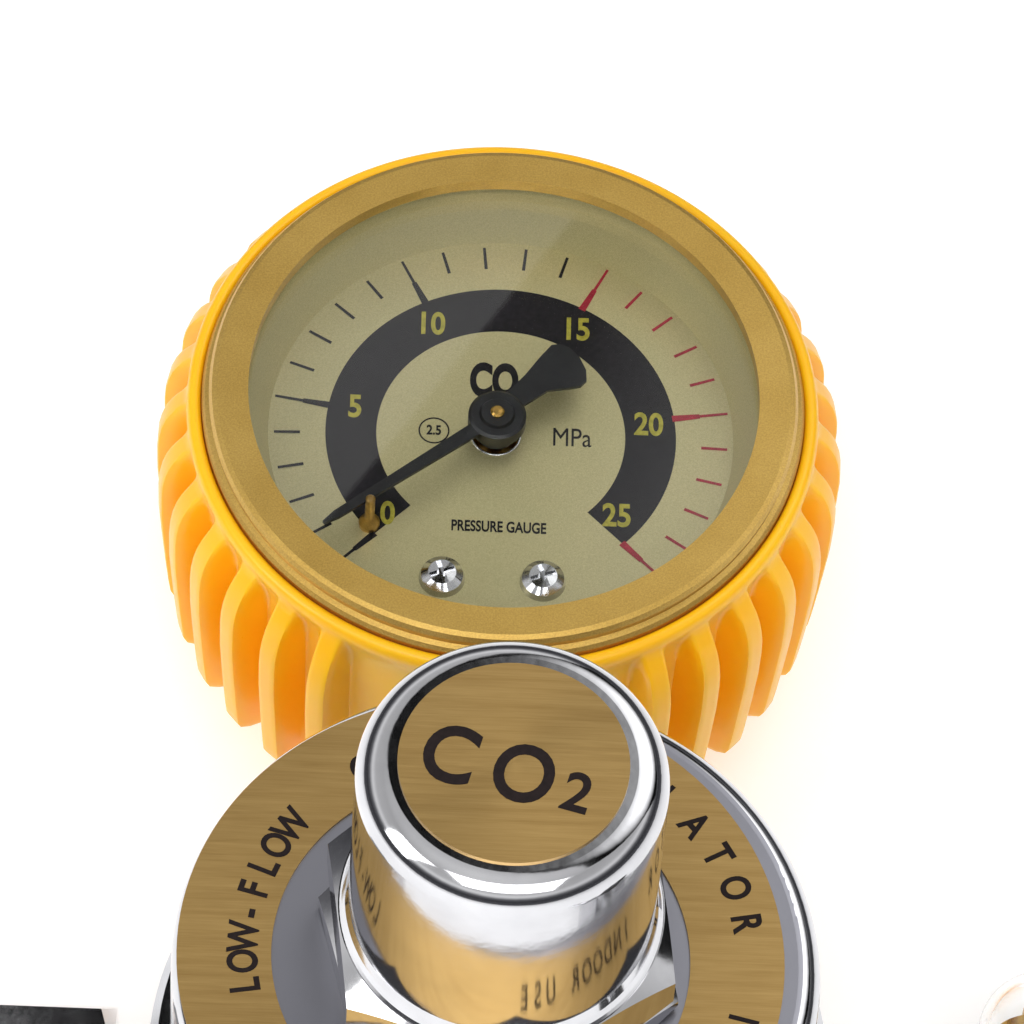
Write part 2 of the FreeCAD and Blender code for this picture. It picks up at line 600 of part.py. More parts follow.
def gauge_boot():
    """Rubber boot over the gauge case, with shock ribs round it and a slot for the socket."""
    skirt = 30.4
    boot = gauge_turned([(14, BOOT_Z0), (skirt - 2, BOOT_Z0), (skirt, BOOT_Z0 + 2), (skirt, BOOT_Z1 - 6),
                         (BOOT_LIP_R - 0.4, BOOT_Z1 - 3), (BOOT_LIP_R, BOOT_Z1 - 1.4),
                         (BOOT_LIP_R - 0.3, BOOT_Z1 - 0.3), (BOOT_LIP_R - 0.8, BOOT_Z1),
                         (BEZEL_R, BOOT_Z1 - 0.4),
                         (BEZEL_R, BEZEL_Z0), (CASE_R, BEZEL_Z0), (CASE_R, CASE_Z0 + 2),
                         (CASE_R - 2, CASE_Z0), (14, CASE_Z0)])
    rise = BOOT_FIN_R - skirt
    side = [(-1.0, BOOT_Z0 + 2.6), (rise - 2.0, BOOT_Z0 + 2.6), (rise - 0.9, BOOT_Z0 + 3.6),
            (rise, BOOT_Z1 - 10),
            (rise - 0.3, BOOT_Z1 - 7.6), (rise - 1.4, BOOT_Z1 - 5), (-0.1, BOOT_Z1 - 3.6),
            (-0.1, BOOT_Z1 - 6.0), (-1.0, BOOT_Z1 - 6.3)]
    ribs = []
    for k in range(FIN_COUNT):
        rib = prism(side, 0, FIN_T)
        rib.rotate(V(0, 0, 0), X_AXIS, 90)
        rib.translate(V(skirt, FIN_T / 2, 0))
        rib.rotate(V(0, 0, 0), Z_AXIS, FIN_FIRST + FIN_PITCH * k)
        rib.translate(V(0, GAUGE_Y, 0))
        ribs.append(rib)
    boot = boot.multiFuse(ribs).removeSplitter()
    return boot.cut(Part.makeBox(15, 20, PORT_Z + 8.5 - BOOT_Z0, V(-7.5, GAUGE_Y - 36, BOOT_Z0 - 1)))


# ---- flow meter ----

def outlet_union():
    """Double-ended union between the body and the flow block."""
    half = (OUTLET_FACE + BLOCK_X0) / 2
    solid = join([cylinder(Z_AXIS, 5.0, half - 14, half + 9), hexagon(14, OUTLET_FACE, BLOCK_X0, chamfer=1)])
    solid = solid.cut(cylinder(Z_AXIS, 2.0, 0, 60))
    return laid_along(solid, X_AXIS, y=OUTLET_Y, z=PORT_Z)


def flow_block():
    """Chromed block with the flow valve chamber, the tube socket and the outlet port."""
    block = rounded_box(BLOCK_X0, BLOCK_X1, BLOCK_Y0, BLOCK_Y1, BLOCK_Z0, BLOCK_Z1, 1.6)
    half = (OUTLET_FACE + BLOCK_X0) / 2
    holes = [cylinder(X_AXIS, 5.0, BLOCK_X0 - 1, half + 9, y=OUTLET_Y, z=PORT_Z),
             cylinder(X_AXIS, 1.6, half + 8, FLOW_X, y=FLOW_Y + 1, z=PORT_Z),
             cylinder(Y_AXIS, 1.6, FLOW_Y, BLOCK_Y1 - 2, x=FLOW_X, z=PORT_Z - 4.5),
             cylinder(Z_AXIS, 1.25, PORT_Z - 4.5, PORT_Z - 1, x=FLOW_X, y=FLOW_Y),
             cylinder(Z_AXIS, 2.6, PORT_Z - 1.5, PORT_Z + 5, x=FLOW_X, y=FLOW_Y),
             cylinder(Z_AXIS, 4.5, PORT_Z + 4, BLOCK_Z1 + 1, x=FLOW_X, y=FLOW_Y),
             cylinder(Y_AXIS, TUBE_R + 0.1, BLOCK_Y1 - 4, BLOCK_Y1 + 1, x=FLOW_X, z=PORT_Z),
             cylinder(Y_AXIS, 0.8, BLOCK_Y0 + 5, BLOCK_Y1 + 1, x=FLOW_X + 4.3, z=PORT_Z),
             cylinder(Y_AXIS, 5.0, BLOCK_Y0 - 1, BLOCK_Y0 + 6.5, x=FLOW_X, z=PORT_Z)]
    for hole in holes:
        block = block.cut(hole)
    return block


def flow_guard():
    """Clear plastic guard with a domed end."""
    inner = GUARD_R - GUARD_WALL
    foot = BLOCK_Y1
    outside = join([cylinder(Y_AXIS, GUARD_R, foot, GUARD_DOME_Y), cylinder(Y_AXIS, 7.6, foot, foot + 2.4),
                    Part.makeSphere(GUARD_R, V(0, GUARD_DOME_Y, 0))])
    inside = join([cylinder(Y_AXIS, inner, foot - 1, GUARD_DOME_Y),
                   Part.makeSphere(inner, V(0, GUARD_DOME_Y, 0))])
    guard = outside.cut(inside)
    guard.translate(V(FLOW_X, 0, PORT_Z))
    return guard


def guard_nut():
    """Knurled ring that clamps the guard's foot to the block."""
    ring = tube(Z_AXIS, 9.2, GUARD_R + 0.05, 0, 7)
    ring = ring.cut(cylinder(Z_AXIS, 7.65, -1, 2.4))
    grooves = []
    count = 24
    for k in range(count):
        angle = 2 * math.pi * k / count
        grooves.append(cylinder(Z_AXIS, 0.45, 1.5, 6, x=9.3 * math.cos(angle), y=9.3 * math.sin(angle)))
    ring = ring.cut(Part.makeCompound(grooves))
    return laid_along(ring, Y_AXIS, x=FLOW_X, y=BLOCK_Y1, z=PORT_Z)


def taper_tube():
    """Glass metering tube, bored wider towards its upper end."""
    length = TUBE_TOP - (BLOCK_Y1 - 2)
    glass = turned([(2.1, 0), (TUBE_R, 0), (TUBE_R, length), (2.5, length)])
    return laid_along(glass, Y_AXIS, x=FLOW_X, y=BLOCK_Y1 - 2, z=PORT_Z)


def tube_seals():
    """Seal rings below the tube's foot and at its head."""
    low = tube(Y_AXIS, TUBE_R + 0.05, 1.5, BLOCK_Y1 - 4, BLOCK_Y1 - 2, x=FLOW_X, z=PORT_Z)
    high = tube(Y_AXIS, TUBE_R, 1.6, TUBE_TOP, TUBE_TOP + 1.2, x=FLOW_X, z=PORT_Z)
    return Part.makeCompound([low, high])


def tube_plug():
    """Brass crown at the head of the tube, pressed down by the dome, with gas slots."""
    top = GUARD_DOME_Y + GUARD_R - GUARD_WALL
    y0 = TUBE_TOP + 1.2
    crown = turned([(0, 0), (4.4, 0), (4.4, 2.2), (2.0, 3.6), (1.2, top - y0 - 0.15), (0, top - y0 - 0.15)])
    crown = crown.cut(cylinder(Z_AXIS, 1.5, -1, 2.2)).cut(Part.makeBox(12, 1.4, 2.4, V(-6, -0.7, -1)))
    return laid_along(crown, Y_AXIS, x=FLOW_X, y=y0, z=PORT_Z)


def flow_float():
    """Ball float, resting at the foot of the tube."""
    return Part.makeSphere(1.75, V(FLOW_X, BLOCK_Y1 - 0.1, PORT_Z))


def valve_gland():
    gland = join([cylinder(Z_AXIS, 4.5, PORT_Z + 5, BLOCK_Z1),
                  hexagon(12, BLOCK_Z1, BLOCK_Z1 + 5, chamfer=1)])
    gland = gland.cut(cylinder(Z_AXIS, 2.0 + RUN, PORT_Z, PORT_Z + 20))
    gland = gland.cut(cylinder(Z_AXIS, 3.3, PORT_Z + 4, PORT_Z + 9))
    gland.translate(V(FLOW_X, FLOW_Y, 0))
    return gland


def needle_oring():
    ring = Part.makeTorus(2.66, 0.6, V(FLOW_X, FLOW_Y, PORT_Z + 6))
    return ring


def needle_stem():
    """Needle and its stem, turned by the knob."""
    stem = turned([(0, PORT_Z - 2.6), (0.5, PORT_Z - 2.6), (2.0, PORT_Z + 0.2), (2.0, PORT_Z + 24),
                   (0, PORT_Z + 24)])
    stem.translate(V(FLOW_X, FLOW_Y, 0))
    return stem


def flow_knob():
    """Fluted knob of the flow valve."""
    z0 = BLOCK_Z1 + 6.5
    knob = turned([(2.0, z0 + 3), (3.6, z0), (KNOB_R - 0.8, z0), (KNOB_R, z0 + 0.8), (KNOB_R, z0 + 10.6),
                   (KNOB_R - 1.4, z0 + 12), (4.2, z0 + 12), (4.2, z0 + 10.8), (1.2, z0 + 10.8),
                   (1.2, z0 + 7.5), (2.0, z0 + 7.5)])
    flutes = []
    count = 12
    for k in range(count):
        angle = 2 * math.pi * k / count
        flutes.append(cylinder(Z_AXIS, 1.5, z0 + 1.5, z0 + 13, x=9.9 * math.cos(angle),
                               y=9.9 * math.sin(angle)))
    knob = knob.cut(Part.makeCompound(flutes))
    knob.translate(V(FLOW_X, FLOW_Y, 0))
    return knob


def knob_screw():
    z0 = BLOCK_Z1 + 17.3
    screw = turned([(0, z0), (1.2, z0), (3.2, z0), (3.2, z0 + 0.8), (2.2, z0 + 1.5), (0, z0 + 1.6)])
    screw = screw.fuse(cylinder(Z_AXIS, 1.15, z0 - 3.3, z0)).removeSplitter()
    screw = screw.cut(Part.makeBox(8, 0.8, 1, V(-4, -0.4, z0 + 0.9)))
    screw.translate(V(FLOW_X, FLOW_Y, 0))
    return screw


def hose_tail():
    """Hose tail with a hexagon, a plain land and three barbs."""
    profile = [(0, 0), (5, 0), (5, 6.5), (6, 6.5), (6, 12.5), (TAIL_R, 12.5), (TAIL_R, 21)]
    y = 21.0
    for k in range(3):
        profile += [(TAIL_R - 0.8, y + 0.5), (TAIL_R, y + 4.5)]
        y += 4.5
    profile += [(TAIL_R - 1.4, y + 1.6), (0, y + 1.6)]
    tail = join([turned(profile), hexagon(14, 6.5, 12.5, chamfer=1)])
    tail = tail.cut(cylinder(Z_AXIS, 2.2, -1, 60))
    return laid_along(tail, -Y_AXIS, x=FLOW_X, y=BLOCK_Y0 + 6.5, z=PORT_Z)


# ---- relief valve ----

def relief_body():
    """Relief valve body screwed into the low-pressure port."""
    solid = join([cylinder(Z_AXIS, 5.0, -8, 1), hexagon(14, 0, 5, chamfer=1), cylinder(Z_AXIS, 5.6, 5, 13)])
    solid = solid.cut(cylinder(Z_AXIS, 1.5, -9, 3)).cut(cylinder(Z_AXIS, 4.4, 2, 14))
    return laid_along(solid, -Y_AXIS, y=RELIEF_FACE, z=PORT_Z)


def relief_disc():
    """Sliding disc with a spigot for the spring."""
    disc = turned([(0, 3.0), (3.9, 3.0), (3.9, 4.6), (1.7, 4.6), (1.5, 6.2), (0, 6.2)])
    return laid_along(disc, -Y_AXIS, y=RELIEF_FACE - 0.02, z=PORT_Z)


def relief_seat():
    seat = cylinder(Z_AXIS, 2.6, 2.0, 3.0)
    return laid_along(seat, -Y_AXIS, y=RELIEF_FACE - 0.02, z=PORT_Z)


def relief_spring():
    return laid_along(coil(2.7, 0.45, 4.65, 12.6, 1.5), -Y_AXIS, y=RELIEF_FACE, z=PORT_Z)


def relief_cap():
    """Vented cap that loads the relief spring."""
    cap = turned([(0, 12.6), (4.35, 12.6), (4.35, 13.0), (5.6, 13.0), (6.6, 13.0), (6.6, 15.4), (6.0, 16.0),
                  (0, 16.0)])
    for k in range(4):
        angle = math.pi / 2 * k
        cap = cap.cut(cylinder(Z_AXIS, 0.7, 10, 20, x=3.0 * math.cos(angle), y=3.0 * math.sin(angle)))
    return laid_along(cap, -Y_AXIS, y=RELIEF_FACE, z=PORT_Z)


PARTS = {
    "body": body, "bonnet": bonnet, "bonnet_label": bonnet_label, "diaphragm": diaphragm,
    "slip_ring": slip_ring, "diaphragm_plate": diaphragm_plate, "main_spring": main_spring,
    "spring_button": spring_button, "adjusting_screw": adjusting_screw,
    "adjusting_locknut": adjusting_locknut, "cap_nut": cap_nut, "cap_label": cap_label,
    "cap_washer": cap_washer, "valve_nozzle": valve_nozzle, "valve_pin": valve_pin,
    "valve_poppet": valve_poppet, "poppet_seat": poppet_seat, "valve_spring": valve_spring,
    "back_plug": back_plug, "back_plug_seal": back_plug_seal,
    "inlet_nipple": inlet_nipple, "inlet_filter": inlet_filter, "inlet_seal": inlet_seal,
    "inlet_nut": inlet_nut,
    "gauge_socket": gauge_socket, "gauge_gasket": gauge_gasket, "gauge_case": gauge_case,
    "gauge_bezel": gauge_bezel, "glass_gasket": glass_gasket, "gauge_glass": gauge_glass,
    "dial": dial, "dial_screws": dial_screws, "stop_pin": stop_pin, "pointer": pointer,
    "pinion_arbor": pinion_arbor, "sector_gear": sector_gear, "movement_frame": movement_frame,
    "bourdon_tube": bourdon_tube, "movement_link": movement_link, "gauge_boot": gauge_boot,
    "outlet_union": outlet_union, "flow_block": flow_block, "flow_guard": flow_guard,
    "guard_nut": guard_nut, "taper_tube": taper_tube, "tube_seals": tube_seals, "tube_plug": tube_plug,
    "flow_float": flow_float, "valve_gland": valve_gland, "needle_oring": needle_oring,
    "needle_stem": needle_stem, "flow_knob": flow_knob, "knob_screw": knob_screw, "hose_tail": hose_tail,
    "relief_body": relief_body, "relief_disc": relief_disc, "relief_seat": relief_seat,
    "relief_spring": relief_spring, "relief_cap": relief_cap,
}

os.makedirs("parts", exist_ok=True)
for name, make in PARTS.items():
    shape = make()
    shape.exportStep("parts/" + name + ".step")
    print(name, shape.ShapeType, len(shape.Solids), round(shape.Volume, 1), shape.isValid())
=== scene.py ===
"""Looks of a carbon dioxide regulator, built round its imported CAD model."""
import json
import math

import bmesh
import bpy
from mathutils import Matrix, Vector


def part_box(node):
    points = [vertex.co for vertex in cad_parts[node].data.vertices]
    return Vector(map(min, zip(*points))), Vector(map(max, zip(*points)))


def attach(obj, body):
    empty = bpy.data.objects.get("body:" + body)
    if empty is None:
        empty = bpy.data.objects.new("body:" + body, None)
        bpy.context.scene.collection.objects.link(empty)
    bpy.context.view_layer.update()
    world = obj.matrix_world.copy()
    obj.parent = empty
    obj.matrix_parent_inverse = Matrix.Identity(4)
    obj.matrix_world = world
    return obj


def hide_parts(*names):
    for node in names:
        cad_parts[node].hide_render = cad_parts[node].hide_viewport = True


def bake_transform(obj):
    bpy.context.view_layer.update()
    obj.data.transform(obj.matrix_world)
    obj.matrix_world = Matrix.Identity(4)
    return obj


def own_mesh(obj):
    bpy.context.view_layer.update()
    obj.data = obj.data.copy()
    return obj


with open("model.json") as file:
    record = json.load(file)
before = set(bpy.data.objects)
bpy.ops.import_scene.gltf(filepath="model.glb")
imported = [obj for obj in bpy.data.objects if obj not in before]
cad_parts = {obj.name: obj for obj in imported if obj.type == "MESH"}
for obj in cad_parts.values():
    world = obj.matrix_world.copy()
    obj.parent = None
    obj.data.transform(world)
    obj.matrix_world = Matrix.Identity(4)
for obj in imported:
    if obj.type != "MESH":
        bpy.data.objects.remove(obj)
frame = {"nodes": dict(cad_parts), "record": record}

MM = 0.001
AXIS = Vector((0, 0, 0))   # the bonnet and the cap turn about Z here
NODES = frame["nodes"]
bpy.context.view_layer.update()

# Places read from the CAD model
bezel_low, bezel_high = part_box("gauge_bezel")
label_low, label_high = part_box("bonnet_label")
JOINTS = {joint["name"]: joint for joint in frame["record"]["behaviour"]["joints"]}
POINTER_AXIS = Vector(JOINTS["pointer_turn"]["pos_m"])
GAUGE = Vector(((bezel_low.x + bezel_high.x) / 2, (bezel_low.y + bezel_high.y) / 2, 0))
LABEL_TOP = label_high.z
CAP_LABEL_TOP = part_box("cap_label")[1].z
BONNET_TOP = label_low.z


def top_near(node, centre, radius):
    """Highest point of a node within a radius of a vertical axis."""
    piece = NODES[node]
    points = [piece.matrix_world @ v.co for v in piece.data.vertices]
    return max(p.z for p in points if (p.xy - centre.xy).length < radius)


DIAL_Z = top_near("dial", GAUGE, 20 * MM)

# Dial print
BAND_IN = 12.47 * MM
BAND_OUT = 17.56 * MM
TICK_OUT = 23.0 * MM
ZERO_DEG = 225.0
SWEEP_DEG = 270.0
FULL_SCALE = 25
RED_FROM = 15
NUMERAL_R = 14.9 * MM
NUMERAL_DEG = {0: 222, 5: 170, 10: 119.5, 15: 60.5, 20: 7, 25: 322}
PRINT_T = 0.03 * MM
WORDS_R = 23.3 * MM      # middle of the lettering on the ring label


# ---------------------------------------------------------------- materials

def new_material(name):
    material = bpy.data.materials.new(name)
    material.use_nodes = True
    tree = material.node_tree
    shader = tree.nodes["Principled BSDF"]
    return material, tree, shader


def set_inputs(node, **values):
    for key, value in values.items():
        node.inputs[key.replace("_", " ")].default_value = value


def coordinates(tree, scale=(1, 1, 1), rotation=(0, 0, 0)):
    """Object coordinates, which are the row frame's metres, scaled for a texture."""
    where = tree.nodes.new("ShaderNodeTexCoord")
    mapping = tree.nodes.new("ShaderNodeMapping")
    mapping.inputs["Scale"].default_value = scale
    mapping.inputs["Rotation"].default_value = rotation
    tree.links.new(where.outputs["Object"], mapping.inputs["Vector"])
    return mapping.outputs["Vector"]


def noise(tree, vector, scale, detail=4.0, rough=0.55):
    node = tree.nodes.new("ShaderNodeTexNoise")
    set_inputs(node, Scale=scale, Detail=detail, Roughness=rough)
    tree.links.new(vector, node.inputs["Vector"])
    return node.outputs["Fac"]


def ramp(tree, value, stops):
    node = tree.nodes.new("ShaderNodeValToRGB")
    elements = node.color_ramp.elements
    while len(elements) < len(stops):
        elements.new(0.5)
    for element, (place, colour) in zip(elements, stops):
        element.position = place
        element.color = (*colour, 1) if len(colour) == 3 else colour
    tree.links.new(value, node.inputs["Fac"])
    return node.outputs["Color"]


def spread(tree, value, low, high):
    """Map a 0 to 1 value to a number range."""
    node = tree.nodes.new("ShaderNodeMapRange")
    set_inputs(node, To_Min=low, To_Max=high)
    tree.links.new(value, node.inputs["Value"])
    return node.outputs["Result"]


def bump(tree, shader, height, distance, strength=1.0):
    node = tree.nodes.new("ShaderNodeBump")
    set_inputs(node, Strength=strength, Distance=distance)
    tree.links.new(height, node.inputs["Height"])
    tree.links.new(node.outputs["Normal"], shader.inputs["Normal"])


def link_roughness(tree, shader, value):
    tree.links.new(value, shader.inputs["Roughness"])


def chrome(name, dark, light, rough_low, rough_high, wave=0.02):
    """Plated metal: faint waves from polishing, fine scratches and hazy patches."""
    material, tree, shader = new_material(name)
    shader.inputs["Metallic"].default_value = 1.0
    where = coordinates(tree)
    patches = noise(tree, where, 160, 6)
    tree.links.new(ramp(tree, patches, [(0.3, dark), (0.7, light)]), shader.inputs["Base Color"])
    link_roughness(tree, shader, spread(tree, noise(tree, where, 420, 8, 0.7), rough_low, rough_high))
    bump(tree, shader, noise(tree, where, 220, 3), wave * MM)
    return material


def bonnet_chrome():
    """Chrome, with the flat land round the label left satin, and its colour darkened there as a painted dark
    reflection.
    """
    material = chrome("bonnet_chrome", (0.56, 0.56, 0.58), (0.66, 0.66, 0.68), 0.05, 0.13)
    tree = material.node_tree
    shader = tree.nodes["Principled BSDF"]
    apart = tree.nodes.new("ShaderNodeSeparateXYZ")
    tree.links.new(coordinates(tree), apart.inputs[0])
    land = tree.nodes.new("ShaderNodeMath")
    land.operation = "COMPARE"
    land.inputs[1].default_value = BONNET_TOP
    land.inputs[2].default_value = 0.05 * MM
    tree.links.new(apart.outputs["Z"], land.inputs[0])
    # On the land the roughness is a real satin finish; the darker base colour is a painted dark reflection.
    for socket, value in (("Base Color", (0.30, 0.30, 0.335, 1)), ("Roughness", 0.36)):
        mix = tree.nodes.new("ShaderNodeMix")
        kind = "RGBA" if socket == "Base Color" else "FLOAT"
        mix.data_type = kind
        before = shader.inputs[socket].links[0].from_socket
        slots = [i for i in mix.inputs if i.enabled]
        tree.links.new(land.outputs[0], slots[0])
        tree.links.new(before, slots[1])
        slots[2].default_value = value
        out = next(o for o in mix.outputs if o.enabled)
        tree.links.new(out, shader.inputs[socket])
    return material


def satin_gold():
    """Gold lacquer with fine metal flake and a faint cloudy tone."""
    material, tree, shader = new_material("satin_gold")
    shader.inputs["Metallic"].default_value = 0.85
    where = coordinates(tree)
    flake = noise(tree, where, 5200, 2, 0.8)
    cloud = noise(tree, where, 90, 4)
    mix = tree.nodes.new("ShaderNodeMix")
    mix.data_type = "RGBA"
    mix.blend_type = "OVERLAY"
    mix.inputs["Factor"].default_value = 0.5
    tones = [(0.3, (0.50, 0.31, 0.066)), (0.7, (0.60, 0.385, 0.095))]
    greys = [(0.35, (0.36, 0.36, 0.36)), (0.65, (0.66, 0.66, 0.66))]
    tree.links.new(ramp(tree, cloud, tones), mix.inputs["A"])
    tree.links.new(ramp(tree, flake, greys), mix.inputs["B"])
    tree.links.new(mix.outputs["Result"], shader.inputs["Base Color"])
    link_roughness(tree, shader, spread(tree, flake, 0.30, 0.46))
    set_inputs(shader, Coat_Weight=0.25, Coat_Roughness=0.22)
    bump(tree, shader, flake, 0.02 * MM)
    return material


def brushed_gold(name, angle):
    """Gold foil brushed in straight lines."""
    material, tree, shader = new_material(name)
    shader.inputs["Metallic"].default_value = 0.9
    where = coordinates(tree, (0.02, 1, 1), (0, 0, angle))
    lines = noise(tree, where, 9000, 3, 0.7)
    wide = noise(tree, coordinates(tree, (0.05, 1, 1), (0, 0, angle)), 1500, 3)
    both = tree.nodes.new("ShaderNodeMath")
    both.operation = "MULTIPLY_ADD"
    both.inputs[1].default_value = 0.5
    tree.links.new(lines, both.inputs[0])
    half = tree.nodes.new("ShaderNodeMath")
    half.operation = "MULTIPLY"
    half.inputs[1].default_value = 0.5
    tree.links.new(wide, half.inputs[0])
    tree.links.new(half.outputs[0], both.inputs[2])
    tree.links.new(ramp(tree, both.outputs[0], [(0.30, (0.35, 0.215, 0.070)), (0.70, (0.49, 0.325, 0.12))]),
                   shader.inputs["Base Color"])
    link_roughness(tree, shader, spread(tree, lines, 0.28, 0.5))
    set_inputs(shader, Anisotropic=0.6)
    bump(tree, shader, lines, 0.006 * MM)
    return material


def boot_plastic():
    """Moulded yellow-orange rubber with a soft gloss."""
    material, tree, shader = new_material("boot_rubber")
    where = coordinates(tree)
    cloud = noise(tree, where, 70, 5)
    tree.links.new(ramp(tree, cloud, [(0.3, (1.0, 0.47, 0.004)), (0.7, (1.0, 0.52, 0.008))]),
                   shader.inputs["Base Color"])
    link_roughness(tree, shader, spread(tree, noise(tree, where, 900, 6), 0.24, 0.38))
    set_inputs(shader, Subsurface_Weight=0.35, Subsurface_Scale=0.003, Specular_IOR_Level=0.4)
    shader.inputs["Subsurface Radius"].default_value = (1.0, 0.5, 0.1)
    bump(tree, shader, noise(tree, where, 1500, 4), 0.008 * MM)
    return material


def olive_dial():
    """Olive metallic lacquer."""
    material, tree, shader = new_material("olive_dial")
    shader.inputs["Metallic"].default_value = 0.55
    where = coordinates(tree)
    flake = noise(tree, where, 6500, 2, 0.8)
    tree.links.new(ramp(tree, flake, [(0.3, (0.56, 0.50, 0.255)), (0.7, (0.72, 0.65, 0.36))]),
                   shader.inputs["Base Color"])
    link_roughness(tree, shader, spread(tree, flake, 0.34, 0.5))
    bump(tree, shader, flake, 0.01 * MM)
    return material


def paint(name, colour, rough=0.45, metallic=0.0, variation=0.25, grain=1800, height=0.006, gloss=0.5):
    """Even colour with a slight grain in tone, gloss and height."""
    material, tree, shader = new_material(name)
    shader.inputs["Metallic"].default_value = metallic
    shader.inputs["Specular IOR Level"].default_value = gloss
    where = coordinates(tree)
    tone = noise(tree, where, grain, 5)
    dark = tuple(c * (1 - variation) for c in colour)
    light = tuple(min(1, c * (1 + variation)) for c in colour)
    tree.links.new(ramp(tree, tone, [(0.3, dark), (0.7, light)]), shader.inputs["Base Color"])
    patches = noise(tree, where, grain / 3, 4)
    link_roughness(tree, shader, spread(tree, patches, rough * 0.8, min(1, rough * 1.2)))
    bump(tree, shader, tone, height * MM)
    return material


def clear(name, tint, rough_low, rough_high, ior):
    """Glass or clear plastic with faint smears and dust."""
    material, tree, shader = new_material(name)
    where = coordinates(tree)
    set_inputs(shader, IOR=ior, Transmission_Weight=1.0)
    smear = noise(tree, where, 130, 6, 0.7)
    tree.links.new(ramp(tree, smear, [(0.35, tint), (0.7, (1, 1, 1))]), shader.inputs["Base Color"])
    link_roughness(tree, shader, spread(tree, smear, rough_low, rough_high))
    return material


def make_materials():
    return {
        "chrome": chrome("chrome", (0.56, 0.56, 0.58), (0.66, 0.66, 0.68), 0.05, 0.13),
        "bonnet_chrome": bonnet_chrome(),
        "gold": satin_gold(),
        "ring_label": brushed_gold("ring_label", 0.0),
        "cap_label": brushed_gold("cap_label", math.radians(-8)),
        "boot": boot_plastic(),
        "olive": olive_dial(),
        "black_print": paint("black_print", (0.020, 0.018, 0.021), 0.6, gloss=0.2),
        "red_print": paint("red_print", (0.42, 0.03, 0.05), 0.6, gloss=0.2),
        "numeral_print": paint("numeral_print", (0.47, 0.42, 0.06), 0.6, gloss=0.2),
        "brown_print": paint("brown_print", (0.013, 0.008, 0.008), 0.65, gloss=0.15),
        "pointer": paint("pointer", (0.012, 0.012, 0.013), 0.42, grain=900),
        "brass": paint("brass", (0.60, 0.37, 0.10), 0.27, 1.0, 0.15, 700),
        "dark_brass": paint("dark_brass", (0.56, 0.36, 0.13), 0.3, 1.0, 0.3, 900),
        "steel": paint("steel", (0.50, 0.50, 0.51), 0.24, 1.0, 0.15, 700),
        "spring": paint("spring", (0.33, 0.33, 0.35), 0.3, 1.0, 0.2, 900),
        "black_rubber": paint("black_rubber", (0.02, 0.02, 0.021), 0.7),
        "nylon": paint("nylon", (0.80, 0.78, 0.68), 0.45),
        "case": paint("case", (0.50, 0.50, 0.33), 0.4, 0.35),
        "black_plastic": paint("black_plastic", (0.018, 0.018, 0.019), 0.32),
        "float": paint("float", (0.55, 0.02, 0.012), 0.2),
        "bronze": paint("bronze", (0.30, 0.17, 0.07), 0.55, 0.9, 0.5, 2600, 0.05),
        "glass": clear("glass", (0.97, 0.985, 0.98), 0.0, 0.02, 1.47),
        "polycarbonate": clear("polycarbonate", (0.955, 0.97, 0.97), 0.01, 0.05, 1.5),
    }


NODE_MATERIALS = {
    "bonnet_chrome": "bonnet",
    "chrome": "body cap_nut inlet_nipple inlet_nut gauge_socket outlet_union flow_block guard_nut "
              "relief_body relief_cap valve_gland dial_screws hose_tail",
    "gold": "gauge_bezel",
    "ring_label": "bonnet_label",
    "cap_label": "cap_label",
    "brass": "valve_nozzle valve_poppet back_plug sector_gear pinion_arbor movement_frame movement_link "
             "bourdon_tube tube_plug relief_disc",
    "dark_brass": "stop_pin",
    "steel": "slip_ring diaphragm_plate spring_button adjusting_screw adjusting_locknut valve_pin "
             "needle_stem knob_screw",
    "spring": "main_spring valve_spring relief_spring",
    "black_rubber": "diaphragm needle_oring tube_seals glass_gasket relief_seat",
    "nylon": "poppet_seat cap_washer back_plug_seal inlet_seal gauge_gasket",
    "case": "gauge_case",
    "olive": "dial",
    "pointer": "pointer",
    "glass": "gauge_glass taper_tube",
    "polycarbonate": "flow_guard",
    "black_plastic": "flow_knob",
    "float": "flow_float",
    "bronze": "inlet_filter",
}


def dress_nodes(materials):
    """Give every CAD node its material."""
    for key, names in NODE_MATERIALS.items():
        for name in names.split():
            mesh = NODES[name].data
            mesh.materials.clear()
            mesh.materials.append(materials[key])


# ---------------------------------------------------------------- mesh pieces

def mesh_piece(name, verts, faces, material, body, smooth=False):
    mesh = bpy.data.meshes.new(name)
    mesh.from_pydata([tuple(v) for v in verts], [], faces)
    mesh.validate()
    mesh.materials.append(material)
    piece = bpy.data.objects.new(name, mesh)
    bpy.context.scene.collection.objects.link(piece)
    if smooth:
        mesh.shade_smooth()
    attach(piece, body)
    return piece


def polar(centre, radius, degrees, z):
    angle = math.radians(degrees)
    return Vector((centre.x + radius * math.cos(angle), centre.y + radius * math.sin(angle), z))


